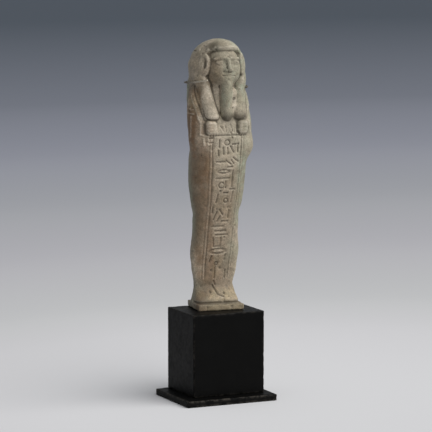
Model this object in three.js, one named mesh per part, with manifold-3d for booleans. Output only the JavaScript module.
import * as THREE from "three";
import { mergeVertices } from "three/addons/utils/BufferGeometryUtils.js";
import Module from "manifold-3d";

// Sizes in millimetres, +Z up, the figure faces -Y.
const SLAB = { width: 54.9, depth: 44.9, height: 3.6 };
const BLOCK = { width: 43.5, depth: 35.3, height: 46.4, x: 1.6, y: 3.8 };
const FIGURE = { x: 3.3, y: 6.6, faceForward: 1.7 };
const FOOT_BASE = { width: 26.5, front: 9.9, back: 12.7, height: 3.4, turn: -8 };
const PILLAR = { halfWidth: 6.5, back: 12.6, height: 118 };
const WIRE = {
  post: 0.65,
  arm: 0.5,
  gap: 0.45,
  postY: 20.55,
  height: 128.4,
  stations: 14,
  // Each arm: height on the post, then bearings in degrees from the front and their heights.
  arms: [
    { from: 127.2, stations: [[-158, 127.2], [-98, 127.5], [-70, 128.3], [-41, 129.7]] },
    { from: 125.6, stations: [[158, 125.6], [98, 125.4], [50, 125]] },
  ],
};
const TOP = SLAB.height + BLOCK.height;

// Body sections: height, half width, front depth, back depth, squareness.
const SECTIONS = [
  [-1, 12.7, 8.8, 9.0, 6],
  [3.5, 12.7, 8.8, 9.0, 6],
  [6.2, 12.4, 8.0, 9.0, 4],
  [9.5, 11.8, 5.2, 9.2, 2.8],
  [14, 11.3, 2.9, 9.2, 2.4],
  [22, 13.1, 3.0, 9.4, 2.3],
  [33, 14.2, 5.4, 9.6, 2.3],
  [45, 13.1, 7.6, 9.8, 2.3],
  [53, 13.1, 9.4, 10.0, 2.2],
  [62, 15.0, 11.3, 10.6, 2.2],
  [73, 16.2, 13.3, 11.2, 2.2],
  [84, 16.5, 14.2, 11.0, 2.2],
  [95, 15.2, 13.4, 11.0, 2.2],
  [106, 17.0, 12.9, 11.2, 2.2],
  [116, 15.9, 12.0, 11.4, 2.2],
  [122, 13.8, 10.4, 11.0, 2.2],
  [127, 11.0, 8.4, 9.6, 2.0],
  [136, 7.0, 5.0, 7.0, 2.0],
];
// Sideways drift of the axis: height, offset.
const SWAY = [
  [0, -0.9],
  [5, -0.9],
  [14, -1.7],
  [22, -1.3],
  [33, -0.9],
  [45, -0.6],
  [62, -0.15],
  [73, -0.2],
  [84, 0.4],
  [92, 0.35],
  [106, 0.4],
  [118, -0.3],
  [132, -0.3],
  [150, 0.1],
];
// Centre line the surface is cast from: height, forward offset.
const SPINE = [
  [0, -0.5],
  [6, -0.5],
  [14, -3],
  [22, -3.2],
  [34, -2],
  [55, -0.5],
  [80, 0],
  [160, 0],
];
// Heights of the rows of the figure's surface: from, to, step.
const ROWS = [
  [0.5, 2, 1.5],
  [2, 16, 2.3],
  [16, 92, 5.1],
  [92, 127, 1.9],
  [127, 146, 1.05],
];
const COLUMNS = 66;
const CROWDING = 0.5; // How much closer the columns stand at the front.
const CROWN = { centre: 136, start: 0.6, rows: 8 };
const RELAX = { rounds: 8, pull: 0.5, probe: 0.02, maxStep: 0.6 };
const CAST = { reach: 34, stride: 0.7, steps: 70, nearest: 0.2 };
const EASE = 0.4; // Size of the eased edges of the block, the slab and the foot base.

const { abs, min, max, hypot, sin, cos, PI } = Math;

const clamp = (v, lo, hi) => min(max(v, lo), hi);

const smoothMin = (a, b, k) => {
  const h = max(k - abs(a - b), 0) / k;
  return min(a, b) - h * h * k * 0.25;
};

const smoothMax = (a, b, k) => -smoothMin(-a, -b, k);

const ellipsoid = (x, f, z, c, r) => {
  const p = [x - c[0], f - c[1], z - c[2]];
  const k0 = hypot(p[0] / r[0], p[1] / r[1], p[2] / r[2]);
  const k1 = hypot(p[0] / r[0] ** 2, p[1] / r[1] ** 2, p[2] / r[2] ** 2) + 1e-9;
  return (k0 * (k0 - 1)) / k1;
};

const capsule = (x, f, z, a, b, ra, rb) => {
  const d = [b[0] - a[0], b[1] - a[1], b[2] - a[2]];
  const p = [x - a[0], f - a[1], z - a[2]];
  const along = p[0] * d[0] + p[1] * d[1] + p[2] * d[2];
  const t = clamp(along / (d[0] ** 2 + d[1] ** 2 + d[2] ** 2), 0, 1);
  const away = hypot(p[0] - d[0] * t, p[1] - d[1] * t, p[2] - d[2] * t);
  return away - (ra + (rb - ra) * t);
};

const roundBox = (x, f, z, c, h, r) => {
  const q = [abs(x - c[0]) - h[0] + r, abs(f - c[1]) - h[1] + r, abs(z - c[2]) - h[2] + r];
  const out = hypot(max(q[0], 0), max(q[1], 0), max(q[2], 0));
  return out + min(max(q[0], q[1], q[2]), 0) - r;
};

const linear = (table, t, column) => {
  const last = table.length - 1;
  if (t <= table[0][0]) return table[0][column];
  if (t >= table[last][0]) return table[last][column];
  const i = table.findIndex((row) => row[0] > t) - 1;
  const u = (t - table[i][0]) / (table[i + 1][0] - table[i][0]);
  return table[i][column] + (table[i + 1][column] - table[i][column]) * u;
};

// Monotone cubic through a table's column.
const smoothCurve = (table, t, column) => {
  const last = table.length - 1;
  const x = clamp(t, table[0][0], table[last][0]);
  const next = table.findIndex((row) => row[0] > x);
  const i = next < 0 ? last - 1 : next - 1;
  const gap = (j) => table[j + 1][0] - table[j][0];
  const slope = (j) => (table[j + 1][column] - table[j][column]) / gap(j);
  const tangent = (j) => {
    if (j === 0) return slope(0);
    if (j === last) return slope(last - 1);
    if (slope(j - 1) * slope(j) <= 0) return 0;
    const w1 = 2 * gap(j) + gap(j - 1);
    const w2 = gap(j) + 2 * gap(j - 1);
    return (w1 + w2) / (w1 / slope(j - 1) + w2 / slope(j));
  };
  const h = gap(i);
  const u = (x - table[i][0]) / h;
  const rise = -2 * u ** 3 + 3 * u ** 2;
  const bend = (u ** 3 - 2 * u ** 2 + u) * h * tangent(i) + (u ** 3 - u ** 2) * h * tangent(i + 1);
  return (1 - rise) * table[i][column] + rise * table[i + 1][column] + bend;
};

const bodyForm = (x, f, z) => {
  const w = smoothCurve(SECTIONS, z, 1);
  const q = smoothCurve(SECTIONS, z, f > 0 ? 2 : 3);
  const n = smoothCurve(SECTIONS, z, 4);
  const g = (abs(x / w) ** n + abs(f / q) ** n + 1e-12) ** (1 / n);
  return smoothMax((g - 1) * min(w, q) * 0.8, z - 131, 1);
};

const armsForm = (ax, f, z) => {
  const upper = capsule(ax, f, z, [11.2, 3, 121.5], [12.7, 5.4, 95.4], 4.3, 5.4);
  const fore = capsule(ax, f, z, [12.2, 6.9, 93.8], [0, 9, 103], 4.9, 3.6);
  return smoothMin(upper, fore, 4);
};

const faceForm = (ax, pf, z) => {
  const f = pf - FIGURE.faceForward;
  const skull = ellipsoid(ax, f, z, [0, 3, 136.8], [10.7, 12.4, 12]);
  const cheek = ellipsoid(ax, f, z, [4.6, 10.2, 134.6], [4, 4.2, 4.8]);
  const jaw = ellipsoid(ax, f, z, [0, 6.8, 131.2], [7.5, 8.2, 4.6]);
  const chin = ellipsoid(ax, f, z, [0, 12.8, 128.7], [3.2, 2.8, 2.1]);
  const muzzle = ellipsoid(ax, f, z, [0, 13.3, 132], [4.4, 2.2, 2.8]);
  const brow = capsule(ax, f, z, [1, 14.7, 141.9], [7.2, 11.6, 141.5], 0.75, 0.6);
  const socket = ellipsoid(ax, f, z, [4.2, 16, 139.3], [3.2, 1.9, 1.8]);
  const ball = ellipsoid(ax, f, z, [4.2, 12.8, 139.2], [2.7, 1.9, 1.5]);
  const ridge = capsule(ax, f, z, [0, 14.5, 141.2], [0, 16.6, 135.8], 0.9, 1.2);
  const wing = ellipsoid(ax, f, z, [1.5, 15.2, 135.3], [1.1, 1.4, 0.95]);
  const upperLip = capsule(ax, f, z, [0, 15.3, 133.1], [3.7, 14.4, 132.4], 0.85, 0.5);
  const lowerLip = capsule(ax, f, z, [0, 15.2, 131.2], [3.1, 14.4, 131.7], 0.95, 0.5);
  const mouth = capsule(ax, f, z, [0, 16.5, 132.15], [3.7, 15.2, 132.25], 0.4, 0.35);
  let d = smoothMin(smoothMin(skull, cheek, 3), jaw, 3);
  d = smoothMin(smoothMin(d, chin, 1.6), muzzle, 1.6);
  d = smoothMin(d, brow, 1.4);
  d = smoothMax(d, -socket, 1);
  d = smoothMin(d, ball, 0.35);
  d = smoothMin(d, smoothMin(ridge, wing, 0.5), 0.9);
  d = smoothMin(smoothMin(d, upperLip, 0.3), lowerLip, 0.3);
  return smoothMax(d, -mouth, 0.3);
};

const turned = (x, f, c, angle) => {
  const p = [x - c[0], f - c[1]];
  return [p[0] * cos(angle) + p[1] * sin(angle), p[1] * cos(angle) - p[0] * sin(angle)];
};

const earForm = (ax, f, z) => {
  const [u, v] = turned(ax, f, [11.4, 9.2], -0.85);
  const lean = v + (z - 138.2) * 0.1;
  const shell = ellipsoid(u, lean, z, [0, 0, 138], [3.6, 1.9, 6.4]);
  const hollow = ellipsoid(u, lean, z, [0.2, 1.9, 138.8], [2.2, 1.3, 3.8]);
  return smoothMax(shell, -hollow, 0.5);
};

const lappetForm = (ax, f, z) => {
  const t = clamp((z - 108) / 18, 0, 1.4);
  const [u, v] = turned(ax, f, [8.1 + 2.9 * t, 12.3 - 5.3 * t], -(0.25 + 0.5 * t));
  const half = [3.9, 3.3];
  const g = (abs(u / half[0]) ** 2.3 + abs(v / half[1]) ** 2.3 + 1e-12) ** (1 / 2.3);
  return smoothMax((g - 1) * half[1] * 0.9, max(107.9 - z, z - 133), 2.4);
};

const wigForm = (x, f, z) => {
  const ax = abs(x);
  const dome = ellipsoid(x, f, z, [0, 0.7, 138.4], [15.1, 14.8, 13.4]);
  const fringe = ellipsoid(x, f, z, [0, 5.6, 141.4], [10.8, 10.6, 9.8]);
  const crown = smoothMin(dome, fringe, 3);
  const g = ((ax / 15.2) ** 2.3 + (abs(f - 0.7) / 13.5) ** 2.3 + 1e-12) ** (1 / 2.3);
  const sides = smoothMax((g - 1) * 13.7, max(z - 139, 127 - z), 3);
  const nape = roundBox(x, f, z, [0, -3.5, 121], [14.2, 8.8, 10], 5.5);
  const opening = roundBox(ax, f, z, [0, 19, 131.8], [12.6, 10.4, 14.8], 4);
  const mass = smoothMin(smoothMin(crown, sides, 3), nape, 2.5);
  return smoothMin(smoothMax(mass, -opening, 1.6), lappetForm(ax, f, z), 2);
};

const beardForm = (ax, f, z) => {
  const beard = capsule(ax, f, z, [0, 15, 127.6], [0, 13.4, 109.8], 2.9, 2.6);
  const web = roundBox(ax, f, z, [0, 10.6, 119], [3.2, 4, 9.6], 1.6);
  return smoothMin(smoothMax(beard, 106.9 - z, 1), web, 1.6);
};

const figureForm = (px, f, z) => {
  const x = px - linear(SWAY, z, 1);
  const ax = abs(x);
  let d = smoothMin(bodyForm(x, f, z), armsForm(ax, f, z + 0.07 * x), 6);
  const hand = roundBox(ax, f, z, [9.6, 12.7, 103.2], [3.1, 2.5, 4], 2.2);
  const neck = capsule(ax, f, z, [0, 4.6, 132], [0, 5.4, 116], 8, 8);
  const reach = 61;
  const heart = [0, 5.2 - PILLAR.back, PILLAR.height - reach];
  const pillar = roundBox(x, f, z, heart, [PILLAR.halfWidth, 5.2, reach], 0.6);
  d = smoothMin(d, hand, 0.9);
  d = smoothMin(d, smoothMin(faceForm(ax, f, z), neck, 1.5), 1.5);
  d = smoothMin(d, wigForm(x, f, z), 0.5);
  d = smoothMin(d, earForm(ax, f, z), 0.5);
  d = smoothMin(d, beardForm(ax, f, z), 0.6);
  const fill = capsule(x, f, z, [4.4, 10.8, 122], [4.2, 10.3, 111], 3.2, 2.8);
  d = smoothMin(d, fill, 1.2);
  return smoothMin(d, pillar, 0.8);
};

const castRay = (from, way) => {
  let t = CAST.reach;
  for (let step = 0; step < CAST.steps; step += 1) {
    const d = figureForm(way[0] * t, from[0] + way[1] * t, from[1] + way[2] * t);
    t = max(t - CAST.stride * d, CAST.nearest);
  }
  return t;
};

const footTwist = (z) => {
  const t = clamp((z - 8) / 14, 0, 1);
  return (FOOT_BASE.turn * PI * (1 - t * t * (3 - 2 * t))) / 180;
};

const rowHeights = () => {
  const heights = [];
  ROWS.forEach(([from, to, step]) => {
    const count = Math.round((to - from) / step);
    for (let i = 0; i < count; i += 1) heights.push(from + ((to - from) * i) / count);
  });
  return heights;
};

// Rays of the figure's surface, bottom row first.
const rayRows = () => {
  const level = rowHeights().map((z) => ({ z, tilt: 0 }));
  const dome = [];
  for (let i = 0; i < CROWN.rows; i += 1) {
    dome.push({ z: CROWN.centre, tilt: CROWN.start + ((PI / 2 - CROWN.start) * i) / CROWN.rows });
  }
  return [...level, ...dome];
};

// Moves a point straight onto the surface.
const settle = (p) => {
  let q = p;
  for (let round = 0; round < 2; round += 1) {
    const d = figureForm(...q);
    const slope = [0, 1, 2].map((k) => {
      const probe = [...q];
      probe[k] += RELAX.probe;
      return (figureForm(...probe) - d) / RELAX.probe;
    });
    const steepness = max(slope[0] ** 2 + slope[1] ** 2 + slope[2] ** 2, 0.05);
    const step = clamp(d / steepness, -RELAX.maxStep, RELAX.maxStep);
    q = q.map((value, k) => value - slope[k] * step);
  }
  return q;
};

// Evens out the spacing of the rings while they stay on the surface.
const relax = (rings) => {
  let current = rings;
  for (let round = 0; round < RELAX.rounds; round += 1) {
    current = current.map((ring, row) => {
      if (row === 0 || row === current.length - 1) return ring;
      return ring.map((p, column) => {
        const around = [
          ring[(column + 1) % COLUMNS],
          ring[(column + COLUMNS - 1) % COLUMNS],
          current[row - 1][column],
          current[row + 1][column],
        ];
        const mean = [0, 1, 2].map((k) => around.reduce((sum, q) => sum + q[k], 0) / 4);
        return settle(p.map((value, k) => value + (mean[k] - value) * RELAX.pull));
      });
    });
  }
  return current;
};

const castRings = () =>
  rayRows().map(({ z, tilt }) => {
    const forward = linear(SPINE, z, 1);
    return Array.from({ length: COLUMNS }, (unused, column) => {
      const even = -PI + (2 * PI * column) / COLUMNS;
      const theta = even - CROWDING * sin(even);
      const way = [sin(theta) * cos(tilt), cos(theta) * cos(tilt), sin(tilt)];
      const t = castRay([forward, z], way);
      return [way[0] * t, forward + way[1] * t, z + way[2] * t];
    });
  });

// Turns the feet with their base and changes forward into -Y.
const placed = ([x, f, z]) => {
  const turn = footTwist(z);
  return [x * cos(turn) + f * sin(turn), x * sin(turn) - f * cos(turn), z];
};

const figureGeometry = () => {
  const rings = relax(castRings());
  const crownTop = [0, 0, CROWN.centre + castRay([0, CROWN.centre], [0, 0, 1])];
  const positions = rings.flat().flatMap(placed);
  positions.push(0, 0, rings[0][0][2], ...crownTop);
  const under = positions.length / 3 - 2;
  const last = rings.length - 1;
  const at = (row, column) => row * COLUMNS + (column % COLUMNS);
  const index = [];
  for (let column = 0; column < COLUMNS; column += 1) {
    for (let row = 0; row < last; row += 1) {
      const corners = [at(row, column), at(row, column + 1), at(row + 1, column + 1), at(row + 1, column)];
      index.push(corners[0], corners[1], corners[2], corners[0], corners[2], corners[3]);
    }
    index.push(under, at(0, column + 1), at(0, column));
    index.push(under + 1, at(last, column), at(last, column + 1));
  }
  const geometry = new THREE.BufferGeometry();
  geometry.setAttribute("position", new THREE.Float32BufferAttribute(positions, 3));
  geometry.setIndex(index);
  return geometry;
};

// Box with eased edges, standing on its underside.
const easedBox = (width, depth, height, ease) => {
  const w = width / 2 - ease;
  const d = depth / 2 - ease;
  const outline = new THREE.Shape();
  outline.moveTo(-w, -d);
  outline.lineTo(w, -d);
  outline.lineTo(w, d);
  outline.lineTo(-w, d);
  outline.closePath();
  const options = { depth: height - 2 * ease, bevelThickness: ease, bevelSize: ease, bevelSegments: 1 };
  return new THREE.ExtrudeGeometry(outline, options).translate(0, 0, ease);
};

const wasm = await Module();
wasm.setup();

const toSolid = (geometry) => {
  const bare = geometry.clone();
  bare.deleteAttribute("normal");
  bare.deleteAttribute("uv");
  const merged = mergeVertices(bare, 1e-4);
  const vertProperties = new Float32Array(merged.attributes.position.array);
  const triVerts = new Uint32Array(merged.index.array);
  return new wasm.Manifold(new wasm.Mesh({ numProp: 3, vertProperties, triVerts }));
};

const toGeometry = (solid) => {
  const mesh = solid.getMesh();
  const geometry = new THREE.BufferGeometry();
  geometry.setAttribute("position", new THREE.Float32BufferAttribute(mesh.vertProperties, 3));
  geometry.setIndex(new THREE.Uint32BufferAttribute(mesh.triVerts, 1));
  geometry.computeVertexNormals();
  return geometry;
};

const ushabtiGeometry = () => {
  const depth = FOOT_BASE.front + FOOT_BASE.back;
  const base = easedBox(FOOT_BASE.width, depth, FOOT_BASE.height, EASE);
  base.translate(0, (FOOT_BASE.back - FOOT_BASE.front) / 2, 0);
  base.rotateZ((FOOT_BASE.turn * PI) / 180);
  const joined = toSolid(figureGeometry()).add(toSolid(base));
  return toGeometry(joined).translate(FIGURE.x, FIGURE.y, TOP);
};

// Point on the cradle arm: clear of the wig all round it, at a height and a bearing.
const armPoint = (z, bearing) => {
  const reaches = [];
  [-9, 0, 9].forEach((side) => {
    const angle = ((bearing + side) * PI) / 180;
    [-0.6, 0.6].forEach((lift) => reaches.push(castRay([0, z + lift], [sin(angle), cos(angle), 0])));
  });
  const reach = max(...reaches) + WIRE.arm + WIRE.gap;
  const angle = (bearing * PI) / 180;
  return new THREE.Vector3(sin(angle) * reach, -cos(angle) * reach, z);
};

const armPoints = ({ from, stations }) => {
  const points = [new THREE.Vector3(0, WIRE.postY - FIGURE.y, from)];
  for (let i = 0; i <= WIRE.stations; i += 1) {
    const bearing = stations[0][0] + ((stations.at(-1)[0] - stations[0][0]) * i) / WIRE.stations;
    const rising = stations[0][0] < stations.at(-1)[0] ? stations : [...stations].reverse();
    points.push(armPoint(linear(rising, bearing, 1), bearing));
  }
  return points;
};

const tube = (points, radius) => {
  const round = new THREE.Shape().absarc(0, 0, radius, 0, 2 * PI);
  const extrudePath = new THREE.CatmullRomCurve3(points);
  return new THREE.ExtrudeGeometry(round, { steps: points.length + 8, curveSegments: 4, extrudePath });
};

const cradleGeometry = () => {
  const back = WIRE.postY - FIGURE.y;
  const post = new THREE.CylinderGeometry(WIRE.post, WIRE.post, WIRE.height, 16).rotateX(PI / 2);
  post.translate(0, back, WIRE.height / 2);
  const arms = WIRE.arms.map((arm) => toSolid(tube(armPoints(arm), WIRE.arm)));
  const joined = arms.reduce((whole, arm) => whole.add(arm), toSolid(post));
  return toGeometry(joined).translate(FIGURE.x, FIGURE.y, TOP);
};

const piece = (name, geometry, color, roughness, metalness) => {
  const material = new THREE.MeshStandardMaterial({ color, roughness, metalness });
  const mesh = new THREE.Mesh(geometry, material);
  mesh.name = name;
  return mesh;
};

const slab = easedBox(SLAB.width, SLAB.depth, SLAB.height, EASE);
const block = easedBox(BLOCK.width, BLOCK.depth, BLOCK.height, EASE);
block.translate(BLOCK.x, BLOCK.y, SLAB.height);

const part = new THREE.Group();
part.name = "ushabti_on_plinth";
part.add(piece("ushabti", ushabtiGeometry(), 0xb5a88c, 0.75, 0));
part.add(piece("plinth_block", block, 0x0b0b0b, 0.5, 0));
part.add(piece("plinth_slab", slab, 0x0b0b0b, 0.6, 0));
part.add(piece("cradle_wire", cradleGeometry(), 0x3a332c, 0.45, 1));

export default part;
